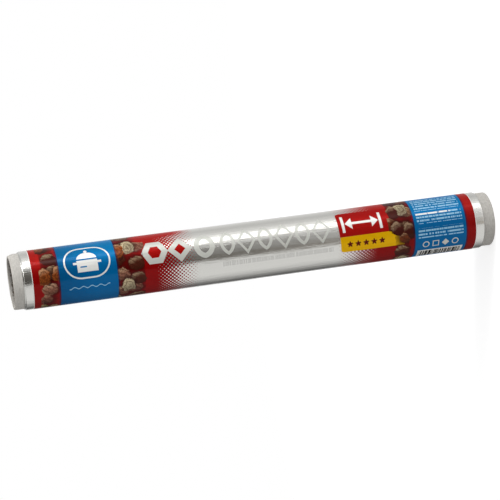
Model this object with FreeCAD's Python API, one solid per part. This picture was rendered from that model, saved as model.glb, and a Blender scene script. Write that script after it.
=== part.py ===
import FreeCAD, Part
import math
import os

# Household foil roll, stood on one end of its core
# Millimetres. +Z runs up the roll's axis and Z = 0 is the lower end of the core.
# A board tube carries the wound foil, and a thin printed film is shrunk round the foil.

# Board core
CORE_LENGTH = 300.0
CORE_OUTER_DIAMETER = 33.4
CORE_WALL = 1.5
CORE_OUTER_ROUND = 0.45
CORE_BORE_ROUND = 0.35

# Wound foil
FOIL_BUILD = 0.86
WINDING_CLEARANCE = 0.02
TURN_GROUPS = 6
INNER_GROUPS = 3
RIDGE_DEPTH = 0.14
INNER_TURNS_OUT = 1.5
TURN_SCATTER = 0.12

# Printed film
FILM_THICKNESS = 0.06
FILM_CLEARANCE = 0.02
FILM_LOWER_EDGE = 7.4
FILM_WIDTH = 285.9
FILM_OVERHANG = 0.5
FILM_CURL = 0.15
LAP_WIDTH = 7.0
LAP_ANGLE = 100.0

# Radii, each tied to the piece under it
CORE_RADIUS = CORE_OUTER_DIAMETER / 2
BORE_RADIUS = CORE_RADIUS - CORE_WALL
FOIL_INNER = CORE_RADIUS + WINDING_CLEARANCE
FOIL_OUTER = FOIL_INNER + FOIL_BUILD
FILM_INNER = FOIL_OUTER + FILM_CLEARANCE
FILM_OUTER = FILM_INNER + FILM_THICKNESS

# Heights of the film and of the foil inside it
FILM_UPPER_EDGE = FILM_LOWER_EDGE + FILM_WIDTH
FOIL_LOWER = FILM_LOWER_EDGE + FILM_OVERHANG
FOIL_UPPER = FILM_UPPER_EDGE - FILM_OVERHANG

UP = FreeCAD.Vector(0, 0, 1)
ORIGIN = FreeCAD.Vector(0, 0, 0)


def revolved(points):
    """Turn a closed profile of (radius, height) points once round the axis."""
    corners = [FreeCAD.Vector(r, 0, z) for r, z in points]
    face = Part.Face(Part.makePolygon(corners + corners[:1]))
    return face.revolve(ORIGIN, UP, 360)


def ring_edges(solid, radius, height):
    """Pick the circular edges of one radius that lie at one height."""
    return [
        edge for edge in solid.Edges
        if isinstance(edge.Curve, Part.Circle)
        and math.isclose(edge.Curve.Radius, radius, abs_tol=1e-6)
        and math.isclose(edge.Curve.Center.z, height, abs_tol=1e-6)
    ]


def make_core_tube():
    """Wound board tube, with the four rims softened as cut board is."""
    tube = Part.makeCylinder(CORE_RADIUS, CORE_LENGTH)
    tube = tube.cut(Part.makeCylinder(BORE_RADIUS, CORE_LENGTH))
    for height in (0.0, CORE_LENGTH):
        tube = tube.makeFillet(CORE_OUTER_ROUND, ring_edges(tube, CORE_RADIUS, height))
        tube = tube.makeFillet(CORE_BORE_ROUND, ring_edges(tube, BORE_RADIUS, height))
    return tube


def turn_edge(group, end_height, outward, slipped):
    """Height of one group of turns at one end of the roll.

    The turns never line up exactly: each group stands in or out by a small wave.
    At the slipped end the inner groups have slid out along the core together.
    """
    scatter = TURN_SCATTER * math.sin(2.4 * group + 0.7)
    slip = INNER_TURNS_OUT if slipped and group < INNER_GROUPS else 0.0
    return end_height + outward * (slip + scatter - TURN_SCATTER)


def ridged_end(end_height, outward, slipped):
    """Points of one end face, from the core outwards: a crest for each group of turns."""
    pitch = FOIL_BUILD / TURN_GROUPS
    points = []
    for group in range(TURN_GROUPS):
        crest = turn_edge(group, end_height, outward, slipped)
        valley = crest - outward * RIDGE_DEPTH
        inner = FOIL_INNER + group * pitch
        points += [(inner, valley), (inner + pitch / 2, crest), (inner + pitch, valley)]
    return points


def make_foil_roll():
    """The wound foil as one ring, with the edges of its turns showing at both ends."""
    lower = ridged_end(FOIL_LOWER, -1, False)
    upper = ridged_end(FOIL_UPPER, 1, True)
    return revolved(lower + upper[::-1])


def film_section(inner, outer):
    """Closed profile of the film, whose two rims turn in over the shoulders of the foil."""
    return [
        (inner - FILM_CURL, FILM_LOWER_EDGE),
        (outer - FILM_CURL, FILM_LOWER_EDGE),
        (outer, FOIL_LOWER),
        (outer, FOIL_UPPER),
        (outer - FILM_CURL, FILM_UPPER_EDGE),
        (inner - FILM_CURL, FILM_UPPER_EDGE),
        (inner, FOIL_UPPER),
        (inner, FOIL_LOWER),
    ]


def make_film_sleeve():
    """Film once round the roll, and the lap where its end is sealed over its start."""
    sleeve = revolved(film_section(FILM_INNER, FILM_OUTER))
    corners = [FreeCAD.Vector(r, 0, z) for r, z in
               film_section(FILM_OUTER, FILM_OUTER + FILM_THICKNESS)]
    lap = Part.Face(Part.makePolygon(corners + corners[:1]))
    lap = lap.revolve(ORIGIN, UP, math.degrees(LAP_WIDTH / FILM_OUTER))
    lap.rotate(ORIGIN, UP, LAP_ANGLE)
    return sleeve.fuse(lap)


def save(name, shape):
    """Check that a piece is one sound solid and write it to its file."""
    assert shape.isValid(), name
    assert len(shape.Solids) == 1, name
    solid = shape.Solids[0]
    solid.exportStep(os.path.join("parts", name + ".step"))
    box = solid.BoundBox
    print(name, round(solid.Volume, 2), "mm3", round(box.ZMin, 3), "to", round(box.ZMax, 3), "mm")


os.makedirs("parts", exist_ok=True)
save("core_tube", make_core_tube())
save("foil_roll", make_foil_roll())
save("film_sleeve", make_film_sleeve())
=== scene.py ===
# %% [markdown]
# A household foil roll. Foil is wound on a grey board core, and a thin printed film is shrunk
# round the foil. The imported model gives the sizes. This lesson makes the surfaces that are seen:
# the board with its plies, the edges of the turns, and the print and ripples of the film.

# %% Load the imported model
import math

import bpy
import numpy as np
from mathutils import Matrix, Vector


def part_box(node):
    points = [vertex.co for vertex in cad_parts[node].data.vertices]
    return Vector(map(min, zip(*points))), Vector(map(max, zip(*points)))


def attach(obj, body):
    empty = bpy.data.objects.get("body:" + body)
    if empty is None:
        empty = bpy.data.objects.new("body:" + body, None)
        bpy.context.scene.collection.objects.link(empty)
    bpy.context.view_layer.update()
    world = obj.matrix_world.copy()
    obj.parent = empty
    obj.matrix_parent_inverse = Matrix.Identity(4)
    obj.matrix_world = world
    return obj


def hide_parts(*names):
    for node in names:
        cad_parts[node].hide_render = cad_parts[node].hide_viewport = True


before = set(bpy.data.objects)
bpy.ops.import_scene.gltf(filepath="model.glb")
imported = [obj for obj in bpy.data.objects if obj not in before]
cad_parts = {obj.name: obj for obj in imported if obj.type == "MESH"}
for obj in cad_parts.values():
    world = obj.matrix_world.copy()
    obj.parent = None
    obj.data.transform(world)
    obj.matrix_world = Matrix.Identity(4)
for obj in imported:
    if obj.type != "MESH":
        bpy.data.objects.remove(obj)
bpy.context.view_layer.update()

MM = 0.001

# %% [markdown]
# The roll stands on one end, and the photograph shows it lying with that end to the right. Two
# directions of the photograph are used all through: across runs along the roll from its upper
# end, which is the photograph's left, and rise runs round it, upwards from the front. Both are
# in millimetres on the film, so the print can be laid out like a drawing. The large sizes are
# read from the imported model, and the thin ones repeat the values of the part's source.

# %% Sizes of the roll
_, core_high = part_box("core_tube")
_, foil_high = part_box("foil_roll")
film_low, film_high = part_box("film_sleeve")

CORE_LENGTH = core_high.z
CORE_RADIUS = core_high.x
CORE_WALL = 1.5 * MM
FILM_RADIUS = min(film_high.x, film_high.y, -film_low.x, -film_low.y)
FILM_THICKNESS = 0.06 * MM
FILM_CLEARANCE = 0.02 * MM
FILM_CURL = 0.15 * MM
FILM_OVERHANG = 0.5 * MM
WINDING_CLEARANCE = 0.02 * MM
LAP_WIDTH = 7.0 * MM
LAP_START = math.radians(190)
LAP_ANGLE = LAP_WIDTH / FILM_RADIUS
print("roll radius", round(FILM_RADIUS / MM, 2), "mm")
print("core length", round(CORE_LENGTH / MM, 2), "mm")

# %% [markdown]
# Every piece is a ring, so all of them come from one function. A closed profile is carried
# round the axis: rows follow the profile and columns follow the angle. Radius and height are
# whole arrays over that grid, so ripples and dents are only sums of arrays.

# %% A closed ring from arrays of radius and height
FINE = 1e-4


def angles(columns, extra=()):
    """Even angles round the roll from the photograph's front, with extra ones put in order."""
    even = np.arange(columns) * 2 * math.pi / columns
    return np.unique(np.concatenate([even, np.mod(np.asarray(extra, float), 2 * math.pi)]))


def ring(name, turn, radius, height):
    """A closed ring whose profile rows are also closed.

    A point at angle t lies at x = radius sin t and y = -radius cos t, so t = 0 is the
    photograph's front and t grows towards its top. Each grid cell is one face.
    """
    rows, columns = radius.shape
    points = np.stack([radius * np.sin(turn), -radius * np.cos(turn), height], axis=-1)
    row, column = np.meshgrid(np.arange(rows), np.arange(columns), indexing="ij")
    next_row, next_column = (row + 1) % rows, (column + 1) % columns
    corners = [(row, column), (row, next_column), (next_row, next_column), (next_row, column)]
    faces = np.stack([r * columns + c for r, c in corners], axis=-1).reshape(-1, 4)
    mesh = bpy.data.meshes.new(name)
    mesh.from_pydata(points.reshape(-1, 3), [], faces)
    mesh.shade_smooth()
    piece = bpy.data.objects.new(name, mesh)
    bpy.context.scene.collection.objects.link(piece)
    volume = ring_volume(turn, radius, height)
    print(name, "faces", len(mesh.polygons), "volume cm3", round(volume, 2))
    return piece


def ring_volume(turn, radius, height):
    """Volume in cubic centimetres: half the radius squared, summed over angle and height."""
    step = np.mod(np.roll(turn, -1) - turn, 2 * math.pi)
    slab = radius ** 2 / 2 * (np.roll(height, -1, 0) - np.roll(height, 1, 0)) / 2
    return float((slab * step).sum() * 1e6)


# %% [markdown]
# Foil and film are never a perfect cylinder. The film has shrunk hard on the foil, and long
# shallow waves run along the roll with finer ones between them. The free end of the foil shows
# through as one faint step. Film and foil share this relief, so they never cut each other.

# %% The relief of the wound foil
# Each wave: how many go round the roll, size in millimetres, drift and start in radians
WAVES = [
    (4, 0.0050, 1.3, 0.4),
    (9, 0.0040, -2.1, 1.9),
    (17, 0.0030, 1.7, 4.0),
    (31, 0.0022, 3.1, 2.2),
    (47, 0.0014, -4.0, 5.1),
]
TAIL_ANGLE, TAIL_WIDTH = math.radians(41), math.radians(0.4)
TAIL_LEAN = 0.05
TAIL_STEP = 0.008
# Each crease: angle in degrees, then middle height, reach and depth in millimetres
CREASES = [
    (34, 293.0, 5.0, 0.016), (84, 288.0, 9.0, 0.016), (77, 284.0, 7.0, 0.016),
    (41, 12.0, 14.0, 0.034), (57, 25.0, 9.0, 0.016), (46, 163.0, 20.0, 0.016),
    (41, 150.0, 16.0, 0.020), (51, 170.0, 13.0, 0.016), (37, 141.0, 12.0, 0.020),
    (48, 118.0, 15.0, 0.016), (30, 12.0, 9.0, 0.030),
]
CREASE_WIDTH = math.radians(0.5)
RELIEF_DEPTH = 0.055 * MM


def relief(turn, height):
    """How far the wound surface lies inside its largest radius, in metres.

    Each wave is a cosine round the roll whose phase drifts with height and whose size
    swells and fades along it, so it reads as a long ridge. The free end of the foil is a
    smooth S across a degree or two that leans a little along the roll, and a crease is a
    bell across its line and along it.
    """
    along = height / CORE_LENGTH
    depth = 0 * turn * height
    for count, size, drift, start in WAVES:
        swell = 0.6 + 0.4 * np.sin(count * along + 5 * start)
        phase = count * turn + 2 * drift * along + start + np.sin(5 * along + count)
        depth = depth + size * swell * (1 + np.cos(phase))
    tail = np.clip((turn - TAIL_ANGLE - TAIL_LEAN * along) / TAIL_WIDTH, -30, 30)
    depth = depth + TAIL_STEP / (1 + np.exp(tail))
    for angle, middle, reach, deep in CREASES:
        bell = np.exp(-(((turn - math.radians(angle)) / CREASE_WIDTH) ** 2))
        depth = depth + deep * bell * np.exp(-(((height / MM - middle) / reach) ** 2))
    return np.clip(depth * MM, 0, RELIEF_DEPTH)


# %% [markdown]
# The film sleeve is one thin shell. Its two rims turn in over the shoulders of the foil, and
# on the hidden side its end is sealed over its start as a lap. The lap is a second layer, so
# the columns of the grid are doubled at its two edges to keep those steps sharp.

# %% The film sleeve
LAP_END = LAP_START + LAP_ANGLE
lap_edges = [LAP_START - FINE, LAP_START + FINE, LAP_END - FINE, LAP_END + FINE]
crease_edges = [
    math.radians(angle) + CREASE_WIDTH * step
    for angle, *_ in CREASES
    for step in (-1.6, -0.8, 0, 0.8, 1.6)
]
sleeve_turn = angles(420, lap_edges + crease_edges)
in_lap = (sleeve_turn > LAP_START) & (sleeve_turn < LAP_END)


def film_heights():
    """Heights up the film: close together at the rims, and even between them."""
    rim = np.linspace(0, FILM_OVERHANG, 5)
    margin = 2 * FILM_OVERHANG
    middle = np.linspace(film_low.z + margin, film_high.z - margin, 84)
    return np.concatenate([film_low.z + rim, middle, film_high.z - rim[::-1]])


def make_sleeve():
    """Outer skin up and inner skin down, a thickness apart, with a power curve at the rims."""
    heights = film_heights()[:, None]
    from_rim = np.minimum(heights - film_low.z, film_high.z - heights)
    curl = FILM_CURL * np.clip(1 - from_rim / FILM_OVERHANG, 0, 1) ** 1.5
    skin = FILM_RADIUS - relief(sleeve_turn, heights) - curl
    outer = skin + FILM_THICKNESS * in_lap
    inner = skin - FILM_THICKNESS
    radius = np.concatenate([outer, inner[::-1]])
    height = np.broadcast_to(np.concatenate([heights, heights[::-1]]), radius.shape)
    return ring("printed_sleeve", sleeve_turn, radius, height)


sleeve = make_sleeve()

# %% [markdown]
# A foil roll's turns never line up at its ends. Each turn shows as a thin bright edge, a few
# stand proud, and at the upper end the inner turns have slid out by about a millimetre. Ten
# metres make some ninety turns, and they show in groups, so each ridge stands for a few turns.

# %% The wound foil
TURNS_SHOWN = 22
TURN_CREST = 0.05 * MM
TURN_SCATTER = 0.10 * MM
TURN_FILL = 0.999
SLIPPED_SHARE = 0.5
END_GAP = 0.1 * MM
foil_turn = angles(360)
foil_inner = CORE_RADIUS + WINDING_CLEARANCE
foil_outer = FILM_RADIUS - FILM_THICKNESS - FILM_CLEARANCE
dice = np.random.default_rng(4)


def turn_edges(outermost, end, outward, slip):
    """Rows for one end, from the core outwards: an inner foot, a crest and an outer foot per turn.

    A crest's height is the end's height, less a random part for each turn and a few slow
    waves round the roll. The inner half of the turns is moved outward by the slip.
    """
    share = np.arange(TURNS_SHOWN) / TURNS_SHOWN
    back = TURN_SCATTER * dice.random(TURNS_SHOWN)
    phase = dice.random(TURNS_SHOWN)[:, None] * 2 * math.pi
    slow_waves = np.sin(5 * foil_turn + phase) * np.cos(11 * foil_turn + 2 * phase)
    dents = 0.2 * TURN_SCATTER * (1 + slow_waves)
    slipped = outward * slip * (share < SLIPPED_SHARE)[:, None]
    crest = end - outward * (back[:, None] + dents) + slipped
    foot = crest - outward * TURN_CREST
    build = outermost - foil_inner
    inside = foil_inner + share[:, None] * build
    middle = inside + 0.5 * build / TURNS_SHOWN
    outside = inside + TURN_FILL * build / TURNS_SHOWN
    rows = np.stack([inside, middle, outside], 1).reshape(-1, foil_turn.size)
    heights = np.stack([foot, crest, foot], 1).reshape(-1, foil_turn.size)
    return rows, heights


def wall_radius(heights):
    """Radius of the foil's outer wall at a column of heights: its largest less the relief."""
    return foil_outer - relief(foil_turn, np.reshape(heights, (-1, 1)))


def make_foil():
    """Lower end outwards, up the wall under the film, upper end inwards, down the core side."""
    low_end, top_end = film_low.z + FILM_OVERHANG, film_high.z - FILM_OVERHANG
    wall_height = np.linspace(low_end, top_end, 60)[1:-1, None]
    wall = wall_radius(wall_height)
    low_rim, top_rim = wall_radius(low_end), wall_radius(top_end)
    low_radius, low_height = turn_edges(low_rim, low_end + END_GAP, -1, 0.0)
    top_radius, top_height = turn_edges(top_rim, top_end - END_GAP, 1, foil_high.z - top_end)
    wide = np.broadcast_to(wall_height, wall.shape)
    radius = np.concatenate([low_radius, wall, top_radius[::-1]])
    height = np.concatenate([low_height, wide, top_height[::-1]])
    return ring("wound_foil", foil_turn, radius, height)


foil = make_foil()

# %% [markdown]
# The core is grey board wound in a helix and glued, then cut square. The knife leaves the four
# rims slightly furred and a little uneven, and the butt joint of the outer ply runs round the
# tube as a shallow groove, which shows at both ends. The bore has the same joint. The upper rim
# has been knocked, so it is bent in a little, most of all at one side.

# %% The board core
core_turn = angles(288)
PLY_PITCH = 62.0 * MM
SEAM_WIDTH = 0.35 * MM
SEAM_DEPTH = 0.06 * MM
OUTER_SEAM_START, BORE_SEAM_START = 3.5 * MM, 41 * MM
RIM_ROUND = 0.45 * MM
RIM_UNEVEN = 0.03 * MM
core_bore = CORE_RADIUS - CORE_WALL
KNOCK_ANGLE, KNOCK_SPREAD = math.radians(105), math.radians(45)
KNOCK_DEPTH, KNOCK_REACH = 0.95 * MM, 1.7 * MM
KNOCK_AT_SIDE = 0.85


def knock(turn, height):
    """How far the wall is bent in near the upper rim.

    It is a bell round the tube, over an even part, times a bell down from the rim.
    """
    aside = np.mod(turn - KNOCK_ANGLE + math.pi, 2 * math.pi) - math.pi
    round_tube = 1 - KNOCK_AT_SIDE + KNOCK_AT_SIDE * np.exp(-((aside / KNOCK_SPREAD) ** 2))
    return KNOCK_DEPTH * round_tube * np.exp(-(((CORE_LENGTH - height) / KNOCK_REACH) ** 2))


def seam_depth(turn, height, start):
    """Depth of the helical joint: a bell across the line of height = start + pitch * turns."""
    offset = (height - start) / PLY_PITCH - turn / (2 * math.pi)
    distance = (offset - np.round(offset)) * PLY_PITCH
    return SEAM_DEPTH * np.exp(-((distance / SEAM_WIDTH) ** 2))


def board_heights():
    """Heights up one wall: fine where the board shows, coarse under the foil."""
    low = np.linspace(RIM_ROUND, film_low.z + 3 * MM, 26)
    middle = np.linspace(film_low.z + 8 * MM, film_high.z - 8 * MM, 24)
    high = np.linspace(film_high.z - 3 * MM, CORE_LENGTH - RIM_ROUND, 26)
    return np.concatenate([low, middle, high])


def rim_rows(end, outward):
    """Radius and height of one cut end: two quarter rounds with a furrowed flat between them.

    The cut is uneven: a few slow waves round the tube lower it by a few hundredths.
    """
    quarter = np.linspace(0, math.pi / 2, 6)[1:]
    outer = CORE_RADIUS - RIM_ROUND * (1 - np.cos(quarter))
    outer_height = RIM_ROUND * (1 - np.sin(quarter))
    plies = np.linspace(CORE_RADIUS - RIM_ROUND, core_bore + RIM_ROUND, 7)[1:-1]
    furrow = RIM_UNEVEN * (np.arange(plies.size) % 2)
    inner = core_bore + RIM_ROUND * (1 - np.cos(quarter[::-1]))
    radius = np.concatenate([outer, plies, inner])[:, None] + 0 * core_turn
    drop = np.concatenate([outer_height, furrow, outer_height[::-1]])[:, None]
    slow_waves = np.sin(3 * core_turn + 1) * np.cos(7 * core_turn)
    uneven = RIM_UNEVEN * (1 + slow_waves) * (drop < RIM_ROUND)
    return radius, end - outward * (drop + uneven)


def make_core():
    """Up the outer wall, in over the upper rim, down the bore and out under the lower rim."""
    heights = board_heights()[:, None]
    outer = CORE_RADIUS - seam_depth(core_turn, heights, OUTER_SEAM_START)
    bore = core_bore + seam_depth(core_turn, heights, BORE_SEAM_START)
    top_radius, top_height = rim_rows(CORE_LENGTH, 1)
    low_radius, low_height = rim_rows(0.0, -1)
    wide = np.broadcast_to(heights, outer.shape)
    radius = np.concatenate([outer, top_radius, bore[::-1], low_radius[::-1]])
    height = np.concatenate([wide, top_height, wide[::-1], low_height[::-1]])
    return ring("board_core", core_turn, radius - knock(core_turn, height), height)


core = make_core()

# %% [markdown]
# Each new surface stands for one imported node, which is hidden, and rides on the only
# body there is.

# %% Tie the surfaces to the imported nodes
for piece, node, slot in [
    (core, "core_tube", "core_board"),
    (foil, "foil_roll", "foil"),
    (sleeve, "film_sleeve", "printed_film"),
]:
    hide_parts(node)
    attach(piece, "root")
    print(piece.name, "stands for", node)

# %% [markdown]
# The finishes are drawn by formula in shader nodes. Writing those one by one hides the idea, so
# a Term stands for a number that changes over the surface, and adding or comparing two Terms
# makes the Math node that does it. A mask is a Term between 0 and 1.

# %% Arithmetic that writes shader nodes
EDGE = 0.07


def linear(red, green, blue):
    """A screen colour of 0 to 255 as the linear colour that shaders use."""
    screen = np.array([red, green, blue]) / 255
    low, high = screen / 12.92, ((screen + 0.055) / 1.055) ** 2.4
    return (*np.where(screen <= 0.04045, low, high).tolist(), 1.0)


class Term:
    """A number over the surface, held as the socket that gives it."""

    def __init__(self, tree, socket):
        self.tree = tree
        self.socket = socket

    def join(self, operation, *others, clamp=False):
        """A Math node of this Term and up to two more Terms or numbers."""
        node = self.tree.nodes.new("ShaderNodeMath")
        node.operation = operation
        node.use_clamp = clamp
        for entry, item in zip(node.inputs, (self, *others)):
            if isinstance(item, Term):
                self.tree.links.new(item.socket, entry)
            else:
                entry.default_value = item
        return Term(self.tree, node.outputs[0])

    # Each sign makes one Math node; & is the smaller of two masks, and | is the larger

    def __add__(self, other):
        return self.join("ADD", other)

    def __sub__(self, other):
        return self.join("SUBTRACT", other)

    def __rsub__(self, other):
        return self.join("MULTIPLY_ADD", -1.0, other)

    def __mul__(self, other):
        return self.join("MULTIPLY", other)

    def __truediv__(self, other):
        return self.join("DIVIDE", other)

    def __neg__(self):
        return self.join("MULTIPLY", -1.0)

    def __abs__(self):
        return self.join("ABSOLUTE")

    def __and__(self, other):
        return self.join("MINIMUM", other)

    def __or__(self, other):
        return self.join("MAXIMUM", other)

    def under(self, limit, edge=EDGE):
        """Mask of where this is less than the limit, with an edge that wide."""
        return ((-self + limit) / edge).join("ADD", 0.5, clamp=True)

    def over(self, limit, edge=EDGE):
        """Mask of where this is more than the limit."""
        return ((self - limit) / edge).join("ADD", 0.5, clamp=True)

    def between(self, low, high, edge=EDGE):
        """Mask of where this lies between two limits."""
        return self.over(low, edge) & self.under(high, edge)


def new_node(tree, kind, **settings):
    """A node with its settings; a setting whose name is a socket's sets that socket."""
    node = tree.nodes.new(kind)
    for name, value in settings.items():
        if name in node.inputs:
            node.inputs[name].default_value = value
        else:
            setattr(node, name, value)
    return node


def blend(tree, share, first, second):
    """The colour between two, as the share says; each is a colour or a socket."""
    node = new_node(tree, "ShaderNodeMix", data_type="RGBA")
    for number, item in ((0, share), (6, first), (7, second)):
        if isinstance(item, Term):
            item = item.socket
        if isinstance(item, bpy.types.NodeSocket):
            tree.links.new(item, node.inputs[number])
        else:
            node.inputs[number].default_value = item
    return node.outputs[2]


def new_group(name, outputs, inputs=()):
    """An empty shader node group with named sockets, and its two end nodes."""
    group = bpy.data.node_groups.new(name, "ShaderNodeTree")
    for label, kind, value in inputs:
        socket = group.interface.new_socket(label, in_out="INPUT", socket_type=kind)
        socket.default_value = value
    for label, kind in outputs:
        group.interface.new_socket(label, in_out="OUTPUT", socket_type=kind)
    return group, group.nodes.new("NodeGroupInput"), group.nodes.new("NodeGroupOutput")


# %% [markdown]
# Every finish needs to know where on the roll it is. This group turns Object coordinates into
# across and rise in millimetres. The angle is cut at the lap of the film, so the print meets
# itself there as it does on a real sleeve.

# %% Where on the roll a point is
FLOAT, COLOUR, VECTOR = "NodeSocketFloat", "NodeSocketColor", "NodeSocketVector"
CUT = LAP_START - math.pi


def make_place_group():
    """Across is core length less height; rise is radius times the angle from the front.

    Reach is the distance from the axis, and Flat holds across and rise as one vector.
    """
    outputs = [("Across", FLOAT), ("Rise", FLOAT), ("Reach", FLOAT), ("Flat", VECTOR)]
    group, _, end = new_group("place_on_roll", outputs)
    coordinates = group.nodes.new("ShaderNodeTexCoord")
    parts = group.nodes.new("ShaderNodeSeparateXYZ")
    group.links.new(coordinates.outputs["Object"], parts.inputs[0])
    x, y, z = (Term(group, parts.outputs[i]) for i in range(3))
    ahead = x * math.sin(CUT) - y * math.cos(CUT)
    aside = x * math.cos(CUT) + y * math.sin(CUT)
    across = (CORE_LENGTH - z) / MM
    rise = (aside.join("ARCTAN2", ahead) + CUT) * (FILM_RADIUS / MM)
    reach = ((x * x) + (y * y)).join("SQRT") / MM
    flat = group.nodes.new("ShaderNodeCombineXYZ")
    group.links.new(across.socket, flat.inputs[0])
    group.links.new(rise.socket, flat.inputs[1])
    sources = (across.socket, rise.socket, reach.socket, flat.outputs[0])
    for (label, _), source in zip(outputs, sources):
        group.links.new(source, end.inputs[label])
    return group


place_group = make_place_group()


def place(tree):
    """Across, rise and reach as Terms, and the flat vector socket, in any node tree."""
    node = new_node(tree, "ShaderNodeGroup", node_tree=place_group)
    return [Term(tree, node.outputs[i]) for i in range(3)] + [node.outputs["Flat"]]


# %% [markdown]
# The print, from its two margins inwards: a red ground that breaks into a screen of dots over
# the clear window, two blue fields, strips with pieces of food, a row of plain shapes, a red
# panel with a measuring arrow and a yellow strip. Each is a small function that lays its inks
# over what is there. All sizes are millimetres along and round the roll. The red and the blue
# are painted lighter in a band towards the top, and back again before the lap: painted top light.

# %% Inks
RED_LOW, RED_HIGH = linear(138, 4, 5), linear(172, 24, 18)
PANEL_RED = linear(162, 9, 5)
MAROON = linear(92, 12, 4)
BLUE_LOW, BLUE_HIGH = linear(0, 98, 158), linear(0, 119, 178)
# The band of painted top light: the inks are lighter between these rises, with edges this wide.
TOP_LIGHT_LOW, TOP_LIGHT_HIGH, TOP_LIGHT_EDGE = 18.0, 47.0, 13.0
TOP_LIGHT_SHARE, CLOUD_SHARE, CLOUD_LESS = 0.8, 0.4, 0.1
NAVY = linear(3, 26, 60)
YELLOW = linear(232, 178, 0)
PALE = linear(206, 207, 200)
PAPER_WHITE = linear(236, 236, 232)
SKY = linear(150, 198, 226)
INK_BLACK = linear(20, 18, 18)


class Print:
    """The print so far: an ink colour, and a cover that is 0 where the film is clear."""

    def __init__(self, tree, colour, cover):
        self.tree = tree
        self.colour = colour
        self.cover = cover

    def lay(self, mask, ink):
        """Prints an ink where the mask is 1; over clear film a thin ink keeps its own colour."""
        self.cover = self.cover | mask
        self.colour = blend(self.tree, mask / (self.cover | 0.001), self.colour, ink)

    def shade(self, mask, ink):
        """Tints the ink that is there, and leaves the cover as it is."""
        self.colour = blend(self.tree, mask, self.colour, ink)


def painted_top_light_grade(tree, rise, cloud, low, high):
    """An ink between its low and high colour: painted top light in a band round the roll, and a
    faint cloud.
    """
    light = rise.over(TOP_LIGHT_LOW, TOP_LIGHT_EDGE) & rise.under(TOP_LIGHT_HIGH, TOP_LIGHT_EDGE)
    share = light * TOP_LIGHT_SHARE + Term(tree, cloud) * CLOUD_SHARE - CLOUD_LESS
    return blend(tree, share, low, high)


# %% The red ground and its screen of dots
PRINT_LEFT, PRINT_RIGHT = 11.1, 287.5
WINDOW_LEFT, WINDOW_RIGHT = 112.5, 196.5
FADE = 27.5
SCREEN_PITCH = 2.37
STEEP_LOW, STEEP_LOW_EDGE = 29.0, 4.0
STEEP_HIGH, STEEP_HIGH_EDGE = 47.0, 16.0
DOT_LIMIT = 1.07


def ground_cover(across, rise):
    """Cover of the red ground: a product of two cosines is above a limit that falls with the tone.

    The tone is 1 in solid red and runs down to 0 at the clear window. Above the row of
    shapes the left fade is twice as steep.
    """
    band = rise.over(STEEP_LOW, STEEP_LOW_EDGE) & rise.under(STEEP_HIGH, STEEP_HIGH_EDGE)
    steep = band + 1.0
    left = (((-across + WINDOW_LEFT) / FADE) * steep).join("ADD", 0.0, clamp=True)
    right = ((across - WINDOW_RIGHT) / FADE).join("ADD", 0.0, clamp=True)
    limit = DOT_LIMIT - (left | right) * (2 * DOT_LIMIT)
    turn = 2 * math.pi / SCREEN_PITCH
    dots = (across * turn).join("COSINE") * (rise * turn).join("COSINE")
    return (dots - limit).over(0.0, 0.1) & across.between(PRINT_LEFT, PRINT_RIGHT)


# %% [markdown]
# The strips beside the blue fields show a dish in browns, creams and greens. Each piece of food
# is one cell of a Voronoi pattern: the distance from the cell's own point gives its outline, the
# cell's random colour picks what it is, and the side that it lies to gives light and shade.

# %% Strips with pieces of food
STRIPS = [(19.5, 28.0), (61.0, 76.0), (235.0, 248.0)]
BEND = 4.0
PIECE_REACH, SHADOW_REACH = 0.44, 0.58
SHADE_INK = linear(44, 8, 6)
GLOW_INK, CHAR_INK, MARK_INK = linear(224, 198, 158), linear(58, 22, 12), linear(62, 28, 14)
MEATS = [
    (0.00, linear(152, 96, 78)), (0.22, linear(96, 44, 30)), (0.40, linear(178, 122, 98)),
    (0.58, linear(132, 66, 30)), (0.76, linear(70, 24, 18)), (0.88, linear(164, 124, 92)),
]
GREENS = [
    (0.00, linear(204, 190, 154)), (0.28, linear(110, 98, 42)),
    (0.50, linear(176, 92, 40)), (0.78, linear(84, 30, 26)),
]


def in_strips(middle, margin, edge=0.05):
    """Mask of the three strips, widened or narrowed by a margin at each side."""
    masks = [middle.between(low - margin, high + margin, edge) for low, high in STRIPS]
    return (masks[0] | masks[1]) | masks[2]


def new_ramp(tree, share, stops, interpolation="LINEAR"):
    """A colour ramp through stops of position and colour, at the share that a Term gives."""
    node = tree.nodes.new("ShaderNodeValToRGB")
    ramp = node.color_ramp
    ramp.interpolation = interpolation
    for index, (position, colour) in enumerate(stops):
        stop = ramp.elements[index] if index < 2 else ramp.elements.new(position)
        stop.position = position
        stop.color = colour
    tree.links.new(share.socket, node.inputs[0])
    return node.outputs[0]


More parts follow.
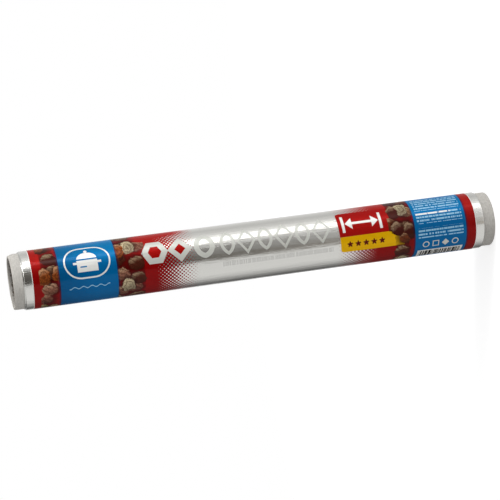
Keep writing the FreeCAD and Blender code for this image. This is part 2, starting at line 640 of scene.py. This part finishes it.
def food_cells(tree, flat, pitch, start):
    """Voronoi cells of a given pitch across and round, on a grid that soft noise bends.

    Gives the distance to the cell's own point and the two offsets from it, both in cells, then
    how far across that point lies in millimetres, and two random numbers of the cell.
    """
    drift = new_node(tree, "ShaderNodeTexNoise", Scale=0.28, Detail=2.0)
    tree.links.new(flat, drift.inputs["Vector"])
    bend = new_node(tree, "ShaderNodeVectorMath", operation="MULTIPLY_ADD")
    bend.inputs[1].default_value = (BEND, BEND, 0.0)
    tree.links.new(drift.outputs["Color"], bend.inputs[0])
    tree.links.new(flat, bend.inputs[2])
    shrink = new_node(tree, "ShaderNodeVectorMath", operation="MULTIPLY_ADD")
    shrink.inputs[1].default_value = (1 / pitch[0], 1 / pitch[1], 0.0)
    shrink.inputs[2].default_value = (start[0], start[1], 0.0)
    tree.links.new(bend.outputs[0], shrink.inputs[0])
    cells = new_node(tree, "ShaderNodeTexVoronoi", voronoi_dimensions="2D", Scale=1.0)
    cells.inputs["Randomness"].default_value = 0.7
    tree.links.new(shrink.outputs[0], cells.inputs["Vector"])
    side = new_node(tree, "ShaderNodeVectorMath", operation="SUBTRACT")
    tree.links.new(shrink.outputs[0], side.inputs[0])
    tree.links.new(cells.outputs["Position"], side.inputs[1])
    sides = tree.nodes.new("ShaderNodeSeparateXYZ")
    middles = tree.nodes.new("ShaderNodeSeparateXYZ")
    tree.links.new(side.outputs[0], sides.inputs[0])
    tree.links.new(cells.outputs["Position"], middles.inputs[0])
    chance = tree.nodes.new("ShaderNodeSeparateColor")
    tree.links.new(cells.outputs["Color"], chance.inputs[0])
    middle = (Term(tree, middles.outputs[0]) - start[0]) * pitch[0]
    offsets = [Term(tree, sides.outputs[i]) for i in range(2)]
    chances = [Term(tree, chance.outputs[i]) for i in range(2)]
    return Term(tree, cells.outputs["Distance"]), offsets, middle, chances


def lay_pieces(work, across, flat, pitch, start, inks, share, ringed):
    """Pieces of food, one to a cell, with a soft shadow under each.

    A piece is laid if its cell's middle lies in a strip, so no strip has a straight edge. Its
    light side is the one that faces the top. It has rings like a cut onion, or a grill's bars:
    a sine of the distance from the middle, or of a slanted line across the piece.
    """
    tree = work.tree
    distance, (along, upward), middle, (kind, luck) = food_cells(tree, flat, pitch, start)
    there = in_strips(middle, 1.5) & luck.under(share, 0.01)
    shadow = (there & in_strips(across, 2.5)) * distance.under(SHADOW_REACH, 0.4)
    work.shade(shadow * 0.95, SHADE_INK)
    grain = new_node(tree, "ShaderNodeTexNoise", Scale=1.1, Detail=4.0, Roughness=0.7)
    tree.links.new(flat, grain.inputs["Vector"])
    speck = Term(tree, grain.outputs[0])
    lit = (upward * 1.1 + along * -0.35).join("ADD", 0.55, clamp=True)
    body = new_ramp(tree, kind, inks, "CONSTANT")
    body = blend(tree, (1.0 - lit) * 0.75, body, SHADE_INK)
    body = blend(tree, lit.over(0.78, 0.3) * speck * 0.8, body, GLOW_INK)
    body = blend(tree, speck.over(0.54, 0.12) * 0.6, body, CHAR_INK)
    line = distance * 30.0 if ringed else along * 15.0 + upward * 21.0
    body = blend(tree, line.join("SINE").over(0.5, 0.6) * 0.5, body, MARK_INK)
    outline = distance + (speck - 0.5) * 0.12
    work.lay(outline.under(PIECE_REACH, 0.07) & (there & in_strips(across, 4.0)), body)


# %% The two blue fields
LEFT_BLUE, RIGHT_BLUE = (27.5, 62.0), (247.6, 280.7)
FIELD_SHADE = 0.7
DARK_END, DARK_WIDTH, DARK_SHARE = 36.0, 26.0, 0.42


def lay_blue(work, across, rise, flat):
    """Two bands of blue, each with a narrow soft shade beside it.

    The blue turns darker to the left of the dark end, along a straight slope of that width.
    """
    tree = work.tree
    cloud = new_node(tree, "ShaderNodeTexNoise", Scale=0.12, Detail=3.0)
    tree.links.new(flat, cloud.inputs["Vector"])
    # The blue carries the painted top light of the grade.
    tone = painted_top_light_grade(tree, rise, cloud.outputs[0], BLUE_LOW, BLUE_HIGH)
    tone = blend(tree, across.under(DARK_END, DARK_WIDTH) * DARK_SHARE, tone, NAVY)
    for low, high in (LEFT_BLUE, RIGHT_BLUE):
        beside = across.between(low - FIELD_SHADE, high + FIELD_SHADE, 2 * FIELD_SHADE)
        work.shade(beside * 0.9, NAVY)
    for low, high in (LEFT_BLUE, RIGHT_BLUE):
        work.lay(across.between(low, high), tone)


# %% [markdown]
# Shapes with edges, such as a ring or a pot, come from distances. A distance to a point gives a
# disc, the larger of two offsets gives a box, and their sum gives a lozenge. An outline is the
# same shape twice, the smaller taken from the larger.

# %% Distances for plain shapes
def round_distance(x, y):
    """Distance from a centre."""
    return ((x * x) + (y * y)).join("SQRT")


def box_distance(x, y, half_width, half_height):
    """How far outside a box: the larger of the two overshoots."""
    return (abs(x) - half_width) | (abs(y) - half_height)


def lozenge_distance(x, y, lean):
    """Sum of the two offsets, with the upright one scaled by the lean."""
    return abs(x) + abs(y) * lean


def stadium_distance(x, y, half_length, radius):
    """Distance outside a bar with round ends: distance to its middle segment less the radius."""
    return round_distance((abs(x) - half_length) | 0.0, y) - radius


def leaf_distance(x, y, half_width, half_height):
    """Distance outside a leaf with two points: the overlap of two large circles side by side."""
    radius = (half_height ** 2 + half_width ** 2) / (2 * half_width)
    return round_distance(abs(x) + (radius - half_width), y) - radius


def repeat(across, start, pitch, count):
    """A row of equal places: which place this is, the offset from its middle, and a mask.

    The place is the whole part of the distance from the start over the pitch.
    """
    step = ((across - start) / pitch).join("FLOOR")
    offset = across - (step * pitch + (start + pitch / 2))
    return step, offset, across.between(start, start + count * pitch)


# %% The badge with a cooking pot, and the wave under it
BADGE = (44.75, 16.6)
BADGE_HALF, BADGE_RADIUS, BADGE_LINE = 3.6, 10.4, 0.95
WAVE_RISE, WAVE_PITCH, WAVE_HEIGHT = 1.0, 5.2, 0.6


def lay_badge(work, across, rise):
    """A white ring with straight sides, a pot with a lid in it, and a wavy line under it.

    Each part is placed by its offset from the badge's middle, and the line is a sine.
    """
    x, y = across - BADGE[0], rise - BADGE[1]
    rim = stadium_distance(x, y, BADGE_HALF, BADGE_RADIUS - BADGE_LINE / 2)
    work.lay(abs(rim).under(BADGE_LINE / 2), PAPER_WHITE)
    pot = box_distance(x, y + 2.7, 6.2, 3.6).under(0.0)
    handles = box_distance(x, y + 0.8, 8.4, 0.7).under(0.0)
    lid = round_distance(x * 0.78, y - 1.3).under(4.7) & y.over(1.9)
    knob = round_distance(x, y - 6.8).under(1.0)
    work.lay((pot | handles) | (lid | knob), PAPER_WHITE)
    shine = stadium_distance(x + 2.4, y + 3.2, 1.6, 0.42).under(0.0)
    work.lay(shine, BLUE_HIGH)
    wave = (x * (2 * math.pi / WAVE_PITCH)).join("SINE") * WAVE_HEIGHT
    line = abs(rise - WAVE_RISE - wave).under(0.28) & abs(x).under(12.2)
    work.lay(line, SKY)


# %% The row of plain shapes over the window
ROW_RISE = 16.6
ROW_HALF = 7.7
HEXAGON_AT, LOZENGE_AT, LEAF_AT = 85.6, 101.0, 116.0
THIN_START, THIN_PITCH, THIN_COUNT = 124.4, 11.7, 6
THIN_LINE = 0.95


def lay_shapes(work, across, rise):
    """Three bold shapes, two of them on red, then outlined ones: leaf and lozenge in turn.

    In the row of outlined ones, whether a place is odd or even picks its shape.
    """
    y = rise - ROW_RISE
    x = across - HEXAGON_AT
    hexagon = (abs(x) * 0.87 + abs(y) * 0.5) | abs(y)
    lozenge = lozenge_distance(across - LOZENGE_AT, y, 0.96)
    work.lay(hexagon.under(5.0) | lozenge.under(5.0), PANEL_RED)
    work.lay(hexagon.between(3.6, 7.1) | lozenge.between(3.4, ROW_HALF), PALE)
    leaf = leaf_distance(across - LEAF_AT, y, 6.4, ROW_HALF)
    work.lay(leaf.between(-3.1, 0.0), PALE)
    step, x, row = repeat(across, THIN_START, THIN_PITCH, THIN_COUNT)
    odd = step.join("MODULO", 2.0)
    leaves = abs(leaf_distance(x, y, 4.6, ROW_HALF) + THIN_LINE).under(THIN_LINE)
    lozenges = abs(lozenge_distance(x * 1.3, y, 0.92) - (ROW_HALF - 1.0)).under(THIN_LINE * 1.25)
    shapes = (leaves * (1.0 - odd)) + (lozenges * odd)
    work.lay(shapes & row, PALE)


# %% The red panel with its arrow, and the yellow strip
PANEL = (199.7, 247.0, 10.2, 27.1)
STRIP = (199.9, 240.5, 0.6, 10.2)
CORNER = 2.2
ARROW = (214.8, 18.4)


def lay_field(work, across, rise, field, upward, ink):
    """A box of ink with one round corner at its left: the upper one, or the lower one.

    The corner is where both overshoots past its centre are within a circle.
    """
    left, right, low, high = field
    x, y = across - (left + right) / 2, rise - (low + high) / 2
    body = box_distance(x, y, (right - left) / 2, (high - low) / 2).under(0.0)
    beyond = rise - (high - CORNER) if upward else (low + CORNER) - rise
    corner = round_distance((left + CORNER - across) | 0.0, beyond | 0.0).under(CORNER)
    work.lay(body & corner, ink)


def lay_panel(work, across, rise):
    """A red panel with a measuring arrow, and under it a yellow strip with stars."""
    lay_field(work, across, rise, PANEL, True, PANEL_RED)
    x, y = across - ARROW[0], rise - ARROW[1]
    shaft = box_distance(x, y, 8.5, 0.8).under(0.0)
    heads = lozenge_distance(abs(x) - 6.2, y, 1.15).under(4.4) & abs(x).over(6.2)
    posts = box_distance(abs(x) - 11.9, y, 0.85, 5.6).under(0.0)
    work.lay((shaft | heads) | posts, PAPER_WHITE)
    lay_field(work, across, rise, STRIP, False, YELLOW)
    lay_stars(work, across, rise)


STAR_START, STAR_PITCH, STAR_COUNT = 203.2, 5.1, 5
STAR_RISE, STAR_RADIUS, STAR_POINT = 5.3, 2.05, 0.58


def lay_stars(work, across, rise):
    """A row of five-pointed stars: their reach falls and grows as the angle folds into fifths."""
    _, x, row = repeat(across, STAR_START, STAR_PITCH, STAR_COUNT)
    y = rise - STAR_RISE
    fifth = 2 * math.pi / 5
    angle = abs(x.join("ARCTAN2", y).join("FLOORED_MODULO", fifth) - fifth / 2)
    radius = round_distance(x, y)
    reach = (angle / (fifth / 2)) * (STAR_RADIUS * STAR_POINT) + STAR_RADIUS * (1 - STAR_POINT)
    work.lay((radius - reach).under(0.0) & row, MAROON)


# %% The small print on the right blue field
ROW_PITCH = 2.15
TEXT_LEFT, TEXT_RIGHT, SHORT_RIGHT = 249.6, 278.8, 272.0
SIGN_START, SIGN_PITCH, SIGN_COUNT, SIGN_RISE = 251.4, 6.3, 4, -1.7


def dashes(tree, across, rise, pitch, rate):
    """Broken bars in rows: noise along each row, cut at a level, gives long and short dashes."""
    row = (rise / pitch).join("FLOOR")
    spot = tree.nodes.new("ShaderNodeCombineXYZ")
    tree.links.new((across * rate).socket, spot.inputs[0])
    tree.links.new((row * 7.31).socket, spot.inputs[1])
    noise = new_node(tree, "ShaderNodeTexNoise", noise_dimensions="2D", Scale=1.0, Detail=1.0)
    tree.links.new(spot.outputs[0], noise.inputs["Vector"])
    height = abs(rise - (row * pitch + pitch / 2))
    return Term(tree, noise.outputs[0]).over(0.39, 0.06) & height.under(pitch * 0.26)


def lay_small_print(work, across, rise):
    """Rows of plain dashes, four small signs, and a white box of plain upright bars."""
    tree = work.tree
    rows = dashes(tree, across, rise, ROW_PITCH, 1.1)
    paragraphs = rise.between(20.6, 31.5) | (rise.between(12.0, 19.2) | rise.between(3.0, 9.2))
    work.lay((rows & paragraphs) & across.between(TEXT_LEFT, TEXT_RIGHT), SKY)
    short = rise.between(17.2, 19.2) & across.between(TEXT_LEFT, SHORT_RIGHT)
    work.lay(rows & short, PAPER_WHITE)
    step, x, row = repeat(across, SIGN_START, SIGN_PITCH, SIGN_COUNT)
    y = rise - SIGN_RISE
    ringed = abs(round_distance(x, y) - 1.9).under(0.32)
    squared = abs(box_distance(x, y, 1.8, 1.8)).under(0.28)
    dropped = lozenge_distance(x, y, 1.0).under(2.4)
    first, second = step.under(0.5, 0.1), step.between(0.5, 1.5, 0.1)
    third, fourth = step.between(1.5, 2.5, 0.1), step.over(2.5, 0.1)
    signs = ((ringed & first) | (squared & second)) | ((dropped & third) | (ringed & fourth))
    work.lay(signs & row, PALE)
    box = across.between(TEXT_LEFT, TEXT_RIGHT + 0.1) & rise.between(-14.0, -6.3)
    work.lay(box, PAPER_WHITE)
    inner = across.between(251.0, 277.4) & rise.between(-14.0, -7.2)
    lines = new_node(tree, "ShaderNodeTexNoise", noise_dimensions="1D", Scale=1.35, Detail=2.0)
    tree.links.new(across.socket, lines.inputs["W"])
    bars = Term(tree, lines.outputs[0]).over(0.47, 0.06)
    work.lay(bars & inner, INK_BLACK)


# %% The whole print as one group
BLEND_WIDTH, BLEND_SHARE = 5.0, 0.4
FAINT_INK, FAINT_SHARE, FAINT_PITCH = linear(150, 150, 148), 0.22, 7.2
END_LINE = 0.45


def make_print_group():
    """Lays the print in order, and gives the ink's colour and where there is ink."""
    group, _, end = new_group("printed_fields", [("Ink", COLOUR), ("Cover", FLOAT)])
    across, rise, _, flat = place(group)
    mottle = new_node(group, "ShaderNodeTexNoise", Scale=0.2, Detail=3.0)
    group.links.new(flat, mottle.inputs["Vector"])
    # The red ground carries the painted top light of the grade.
    red = painted_top_light_grade(group, rise, mottle.outputs[0], RED_LOW, RED_HIGH)
    work = Print(group, red, ground_cover(across, rise))
    lay_shapes(work, across, rise)
    lay_panel(work, across, rise)
    work.shade(in_strips(across, -2.0, BLEND_WIDTH) * BLEND_SHARE, SHADE_INK)
    lay_pieces(work, across, flat, (11.0, 9.0), (0.3, 0.6), MEATS, 0.9, False)
    lay_pieces(work, across, flat, (9.0, 12.0), (5.2, 3.1), GREENS, 0.45, True)
    lay_blue(work, across, rise, flat)
    lay_badge(work, across, rise)
    lay_small_print(work, across, rise)
    row = rise.between(2.2, 5.0) & across.between(126.0, 195.0)
    faint = dashes(group, across, rise, FAINT_PITCH, 1.5) & row
    work.lay(faint * FAINT_SHARE, FAINT_INK)
    left_line = across.between(PRINT_LEFT, PRINT_LEFT + END_LINE)
    right_line = across.between(PRINT_RIGHT - END_LINE, PRINT_RIGHT)
    work.lay(left_line | right_line, PAPER_WHITE)
    group.links.new(work.colour, end.inputs["Ink"])
    group.links.new(work.cover.socket, end.inputs["Cover"])
    print("print nodes", len(group.nodes))
    return group


print_group = make_print_group()

# %% [markdown]
# Foil is bright but never a mirror. Rolling leaves fine lines round the roll, and winding and
# handling leave soft dents. One group gives both as a normal, for the bare edges of the foil
# and for the foil under the film alike.

# %% Rolled foil
DENT_STRETCH, DENT_HEIGHT = (0.09, 1.15, 1.0), 0.25 * MM
LINE_SQUEEZE, LINE_HEIGHT = (6.0, 0.05, 1.0), 0.01 * MM


def make_foil_group():
    """Rolling lines and soft dents as a bumped normal, and a patchy roughness."""
    group, start, end = new_group(
        "rolled_foil",
        [("Roughness", FLOAT), ("Normal", VECTOR)],
        [("Dents", FLOAT, 0.5), ("Lines", FLOAT, 0.3)],
    )
    *_, flat = place(group)
    stretch = group.nodes.new("ShaderNodeMapping")
    stretch.inputs["Scale"].default_value = DENT_STRETCH
    group.links.new(flat, stretch.inputs["Vector"])
    dents = new_node(group, "ShaderNodeTexNoise", Scale=0.55, Detail=5.0, Roughness=0.6)
    group.links.new(stretch.outputs[0], dents.inputs["Vector"])
    squeeze = group.nodes.new("ShaderNodeMapping")
    squeeze.inputs["Scale"].default_value = LINE_SQUEEZE
    group.links.new(flat, squeeze.inputs["Vector"])
    lines = new_node(group, "ShaderNodeTexNoise", Scale=1.0, Detail=2.0)
    group.links.new(squeeze.outputs[0], lines.inputs["Vector"])
    patch = new_node(group, "ShaderNodeTexNoise", Scale=0.3, Detail=3.0)
    group.links.new(flat, patch.inputs["Vector"])
    rough = Term(group, patch.outputs[0]) * 0.10 + 0.08
    group.links.new(rough.socket, end.inputs["Roughness"])
    first = new_node(group, "ShaderNodeBump", Distance=DENT_HEIGHT)
    group.links.new(start.outputs["Dents"], first.inputs["Strength"])
    group.links.new(dents.outputs[0], first.inputs["Height"])
    second = new_node(group, "ShaderNodeBump", Distance=LINE_HEIGHT)
    group.links.new(start.outputs["Lines"], second.inputs["Strength"])
    group.links.new(lines.outputs[0], second.inputs["Height"])
    group.links.new(first.outputs[0], second.inputs["Normal"])
    group.links.new(second.outputs[0], end.inputs["Normal"])
    return group


foil_group = make_foil_group()
FOIL_COLOUR, DULL_FOIL = linear(233, 232, 227), linear(204, 204, 200)


def new_material(name):
    """An empty material with a Principled shader, ready to be wired."""
    material = bpy.data.materials.new(name)
    material.use_nodes = True
    return material, material.node_tree, material.node_tree.nodes["Principled BSDF"]


def make_foil_material():
    """Bare aluminium at the turns' edges: metal whose colour a soft noise dulls in patches."""
    material, tree, shader = new_material("bare_foil")
    surface = new_node(tree, "ShaderNodeGroup", node_tree=foil_group, Dents=0.8, Lines=0.5)
    *_, flat = place(tree)
    grime = new_node(tree, "ShaderNodeTexNoise", Scale=0.9, Detail=3.0)
    tree.links.new(flat, grime.inputs["Vector"])
    colour = blend(tree, grime.outputs[0], DULL_FOIL, FOIL_COLOUR)
    tree.links.new(colour, shader.inputs["Base Color"])
    tree.links.new(surface.outputs["Roughness"], shader.inputs["Roughness"])
    tree.links.new(surface.outputs["Normal"], shader.inputs["Normal"])
    shader.inputs["Metallic"].default_value = 1.0
    return material


foil.data.materials.append(make_foil_material())

# %% [markdown]
# The film is clear plastic printed on its inside, drawn tight over the foil. Where it is clear
# the foil shines through it, so there the shader is metal. Ink lets a little of the foil
# through, so there it is mostly plain colour and partly metal of that colour. A coat over both
# is the gloss of the film itself.

# %% Printed film
INK_BODY, INK_ROUGHNESS = 0.7, 0.28


def make_film_material():
    """Ink where the print covers, foil elsewhere, and one glossy coat over both.

    The inks are a little translucent, so three tenths of what they show is foil tinted by them.
    """
    material, tree, shader = new_material("printed_film")
    artwork = new_node(tree, "ShaderNodeGroup", node_tree=print_group)
    surface = new_node(tree, "ShaderNodeGroup", node_tree=foil_group, Dents=0.6, Lines=0.12)
    cover = Term(tree, artwork.outputs["Cover"])
    colour = blend(tree, cover, FOIL_COLOUR, artwork.outputs["Ink"])
    tree.links.new(colour, shader.inputs["Base Color"])
    tree.links.new((1.0 - cover * INK_BODY).socket, shader.inputs["Metallic"])
    rough = Term(tree, surface.outputs["Roughness"]) * (1.0 - cover) + cover * INK_ROUGHNESS
    tree.links.new(rough.socket, shader.inputs["Roughness"])
    tree.links.new(surface.outputs["Normal"], shader.inputs["Normal"])
    shader.inputs["Specular IOR Level"].default_value = 0.0
    shader.inputs["Coat Weight"].default_value = 0.2
    shader.inputs["Coat Roughness"].default_value = 0.12
    shader.inputs["Coat IOR"].default_value = 1.5
    return material


sleeve.data.materials.append(make_film_material())

# %% [markdown]
# Grey board is recycled pulp: a warm grey with darker and lighter fibres, streaked a little
# along the winding. The cut ends are rougher in tone. From a millimetre or two inside each
# mouth the bore is painted dark brown: painted shade of the deep bore.

# %% Grey board
BOARD_DARK, BOARD_LIGHT = linear(180, 177, 171), linear(205, 202, 196)
BOARD_SPECK = linear(142, 138, 131)
# Colours of the painted shade deep inside the bore.
BORE_SHADE_DARK, BORE_SHADE_LIGHT = linear(34, 24, 18), linear(80, 60, 46)
CUT_DARK, CUT_LIGHT = linear(150, 144, 134), linear(216, 212, 204)


def make_board_material():
    """Grey outside, speckled at the cuts, dark brown painted shade deep in the bore; fibres are
    stretched noise.
    """
    material, tree, shader = new_material("grey_board")
    across, _, reach, flat = place(tree)
    stretch = tree.nodes.new("ShaderNodeMapping")
    stretch.inputs["Scale"].default_value = (1.6, 0.6, 1.0)
    stretch.inputs["Rotation"].default_value = (0.0, 0.0, 0.5)
    tree.links.new(flat, stretch.inputs["Vector"])
    fibre = new_node(tree, "ShaderNodeTexNoise", Scale=0.7, Detail=5.0, Roughness=0.7)
    tree.links.new(stretch.outputs[0], fibre.inputs["Vector"])
    coordinates = tree.nodes.new("ShaderNodeTexCoord")
    speckle = new_node(tree, "ShaderNodeTexNoise", Scale=700.0, Detail=3.0, Roughness=0.7)
    tree.links.new(coordinates.outputs["Object"], speckle.inputs["Vector"])
    fibres, specks = Term(tree, fibre.outputs[0]), Term(tree, speckle.outputs[0])
    blotch = ((fibres - 0.35) * 3.2).join("ADD", 0.0, clamp=True)
    grey = blend(tree, blotch, BOARD_DARK, BOARD_LIGHT)
    grey = blend(tree, specks.over(0.60, 0.12) * 0.25, grey, BOARD_SPECK)
    # Painted shade of the deep bore: dark brown, past a ragged line inside each mouth.
    bore_shade = blend(tree, blotch, BORE_SHADE_DARK, BORE_SHADE_LIGHT)
    from_end = across.join("MINIMUM", -across + CORE_LENGTH / MM)
    deep = (from_end + (fibres - 0.5) * 5.0 + (specks - 0.5) * 3.0).over(1.7, 1.2)
    inside = reach.under((core_bore + 0.3 * MM) / MM, 0.2) & deep
    colour = blend(tree, inside, grey, bore_shade)
    cut = from_end.under(0.4, 0.3) * 0.6
    furred = blend(tree, specks, CUT_DARK, CUT_LIGHT)
    colour = blend(tree, cut, colour, furred)
    tree.links.new(colour, shader.inputs["Base Color"])
    tree.links.new((fibres * 0.2 + 0.62).socket, shader.inputs["Roughness"])
    bump = new_node(tree, "ShaderNodeBump", Strength=0.6, Distance=0.06 * MM)
    tree.links.new((fibres * 0.8 + specks * 0.6).socket, bump.inputs["Height"])
    tree.links.new(bump.outputs[0], shader.inputs["Normal"])
    shader.inputs["Specular IOR Level"].default_value = 0.4
    return material


core.data.materials.append(make_board_material())

# %% [markdown]
# What foil looks like is mostly what it reflects. In the photograph a white table lies under
# the roll, a soft box hangs over it and the room between them is dim and a little warm, less
# so to the right. The world holds that room as two ramps round the roll's axis, blended along
# it, and the soft box is brighter at its left end. The camera itself sees plain white.

# %% The room as a world
# Each stop: degrees from the photograph's front, brightness at the left and at the right
ROOM = [
    (-180, 0.74, 0.70), (-150, 0.90, 0.90), (-128, 0.60, 0.60), (-119, 0.09, 0.10),
    (-100, 0.15, 0.16), (-84, 0.35, 0.36), (-68, 0.57, 0.55), (-50, 0.74, 0.72),
    (10.5, 0.70, 0.72), (12.5, 0.07, 0.42), (27, 0.07, 0.42), (42, 0.10, 0.70),
    (60, 0.13, 0.72), (77, 0.52, 0.90), (87.5, 1.2, 1.15), (89.5, 2.8, 1.9),
    (99.5, 2.8, 1.9), (101.5, 1.2, 1.1), (110, 1.02, 0.95), (124, 0.76, 0.68),
    (150, 0.58, 0.54), (180, 0.74, 0.70),
]
DIM, WARMTH, NEUTRAL = 0.45, (1.06, 1.0, 0.92), (1.0, 1.0, 1.0)
LEFT_SLOPE, RIGHT_SLOPE, SLOPE_POWER = -0.10, -0.33, 1.8
BOX_END_SLOPE, BOX_END_LEVEL = -0.125, 5.0
BOX_LOW, BOX_HIGH = 91.0 / 360 + 0.5, 101.0 / 360 + 0.5


def room_ramp(tree, share, column):
    """One ramp of the room's brightness: column 1 is the left of the photograph, 2 the right.

    The share of the ramp is the angle as part of a turn, and dim stops above the front are warm.
    """
    stops = []
    for row in ROOM:
        angle, level = row[0], row[column]
        tint = WARMTH if angle > 0 and level < DIM else NEUTRAL
        stops.append((angle / 360 + 0.5, (level * tint[0], level * tint[1], level * tint[2], 1)))
    return new_ramp(tree, share, stops)


def make_world():
    """Brightness by the ray's angle round the axis and its slope along it.

    The slope is the ray's height: it blends the left ramp into the right one by a power, and
    past the box end's slope the soft box is brighter. Camera rays see white.
    """
    world = bpy.data.worlds.new("studio")
    bpy.context.scene.world = world
    world.use_nodes = True
    tree = world.node_tree
    background = tree.nodes["Background"]
    coordinates = tree.nodes.new("ShaderNodeTexCoord")
    parts = tree.nodes.new("ShaderNodeSeparateXYZ")
    tree.links.new(coordinates.outputs["Generated"], parts.inputs[0])
    x, y, z = (Term(tree, parts.outputs[i]) for i in range(3))
    angle = x.join("ARCTAN2", -y) / (2 * math.pi) + 0.5
    rightward = ((-z + LEFT_SLOPE) / (LEFT_SLOPE - RIGHT_SLOPE)).join("ADD", 0.0, clamp=True)
    rightward = rightward.join("POWER", SLOPE_POWER)
    room = blend(tree, rightward, room_ramp(tree, angle, 1), room_ramp(tree, angle, 2))
    box_end = z.over(BOX_END_SLOPE, 0.06) & angle.between(BOX_LOW, BOX_HIGH, 0.006)
    room = blend(tree, box_end, room, (BOX_END_LEVEL, BOX_END_LEVEL, BOX_END_LEVEL, 1))
    path = tree.nodes.new("ShaderNodeLightPath")
    seen = blend(tree, path.outputs["Is Camera Ray"], room, (1, 1, 1, 1))
    tree.links.new(seen, background.inputs["Color"])
    print("world ramps of", len(ROOM), "stops")


make_world()

# %% [markdown]
# Two large lamps fill what the room leaves dim and lay a soft shadow on the floor. They are
# kept out of the reflections, because the room above already holds the soft box.

# %% Lamps and floor
def add_lamp(name, angle, distance, height, size, watts):
    """A square area lamp at an angle round the axis, aimed at the middle of the roll."""
    lamp = bpy.data.lights.new(name, "AREA")
    lamp.size = size
    lamp.energy = watts
    item = bpy.data.objects.new(name, lamp)
    turn = math.radians(angle)
    item.location = (distance * math.sin(turn), -distance * math.cos(turn), height)
    aim = Vector((0, 0, CORE_LENGTH / 2)) - item.location
    item.rotation_euler = aim.to_track_quat("-Z", "Y").to_euler()
    item.visible_glossy = False
    bpy.context.scene.collection.objects.link(item)
    return item


add_lamp("upper_lamp", angle=74, distance=1.3, height=0.75, size=1.7, watts=10.6)
add_lamp("lower_lamp", angle=-25, distance=1.3, height=0.4, size=0.9, watts=0.15)

FLOOR_RADIUS, FLOOR_GREY, FLOOR_LIFT = 0.7, 0.55, 0.64


def make_floor():
    """A pale disc under the roll, lifted to white for the camera only.

    Its points are the cosine and sine of even angles. Reflections pass through it to the room.
    """
    mesh = bpy.data.meshes.new("floor")
    turn = np.linspace(0, 2 * math.pi, 96, endpoint=False)
    rim = np.stack([FLOOR_RADIUS * np.cos(turn), FLOOR_RADIUS * np.sin(turn), 0 * turn], -1)
    mesh.from_pydata(rim, [], [list(range(turn.size))])
    floor = bpy.data.objects.new("floor", mesh)
    bpy.context.scene.collection.objects.link(floor)
    material, tree, shader = new_material("pale_floor")
    shader.inputs["Base Color"].default_value = (FLOOR_GREY, FLOOR_GREY, FLOOR_GREY, 1)
    shader.inputs["Roughness"].default_value = 0.9
    shader.inputs["Specular IOR Level"].default_value = 0.0
    path = tree.nodes.new("ShaderNodeLightPath")
    clear = tree.nodes.new("ShaderNodeBsdfTransparent")
    lift = tree.nodes.new("ShaderNodeEmission")
    add = tree.nodes.new("ShaderNodeAddShader")
    mix = tree.nodes.new("ShaderNodeMixShader")
    camera = Term(tree, path.outputs["Is Camera Ray"])
    tree.links.new((camera * FLOOR_LIFT).socket, lift.inputs["Strength"])
    tree.links.new(shader.outputs[0], add.inputs[0])
    tree.links.new(lift.outputs[0], add.inputs[1])
    tree.links.new(path.outputs["Is Glossy Ray"], mix.inputs[0])
    tree.links.new(add.outputs[0], mix.inputs[1])
    tree.links.new(clear.outputs[0], mix.inputs[2])
    tree.links.new(mix.outputs[0], tree.nodes["Material Output"].inputs["Surface"])
    mesh.materials.append(material)


make_floor()

# %% [markdown]
# The photograph looks down on a lying roll from the front and a little from the left. Here the
# roll stands, so the camera lies on its side and gives the same picture.

# %% Camera
CAMERA_DISTANCE = 1.1384
CAMERA_TURN = math.radians(14.416)
CAMERA_DIP = math.radians(31.518)
AIM = Vector((-0.00019, 0.0, 0.15272))
LENS, SENSOR = 134.08, 36.0
HALF_PIXEL = 0.5 / 500


def make_camera():
    """Photograph directions first, then turned so that its up is +X and its left is +Z."""
    camera = bpy.data.objects.new("camera", bpy.data.cameras.new("camera"))
    bpy.context.scene.collection.objects.link(camera)
    flat = math.cos(CAMERA_DIP)
    turn_sine, turn_cosine = math.sin(CAMERA_TURN), math.cos(CAMERA_TURN)
    forward = Vector((-math.sin(CAMERA_DIP), turn_cosine * flat, -turn_sine * flat))
    right = Vector((0.0, -turn_sine, -turn_cosine))
    up = right.cross(forward)
    axes = Matrix((right, up, -forward)).transposed().to_4x4()
    camera.matrix_world = Matrix.Translation(AIM - forward * CAMERA_DISTANCE) @ axes
    camera.data.lens = LENS
    camera.data.sensor_width = SENSOR
    camera.data.clip_start = 0.05
    camera.data.shift_x, camera.data.shift_y = -HALF_PIXEL, HALF_PIXEL
    bpy.context.scene.camera = camera
    print("camera at", [round(v, 3) for v in camera.matrix_world.translation])


make_camera()
bpy.context.scene.view_settings.view_transform = "Standard"
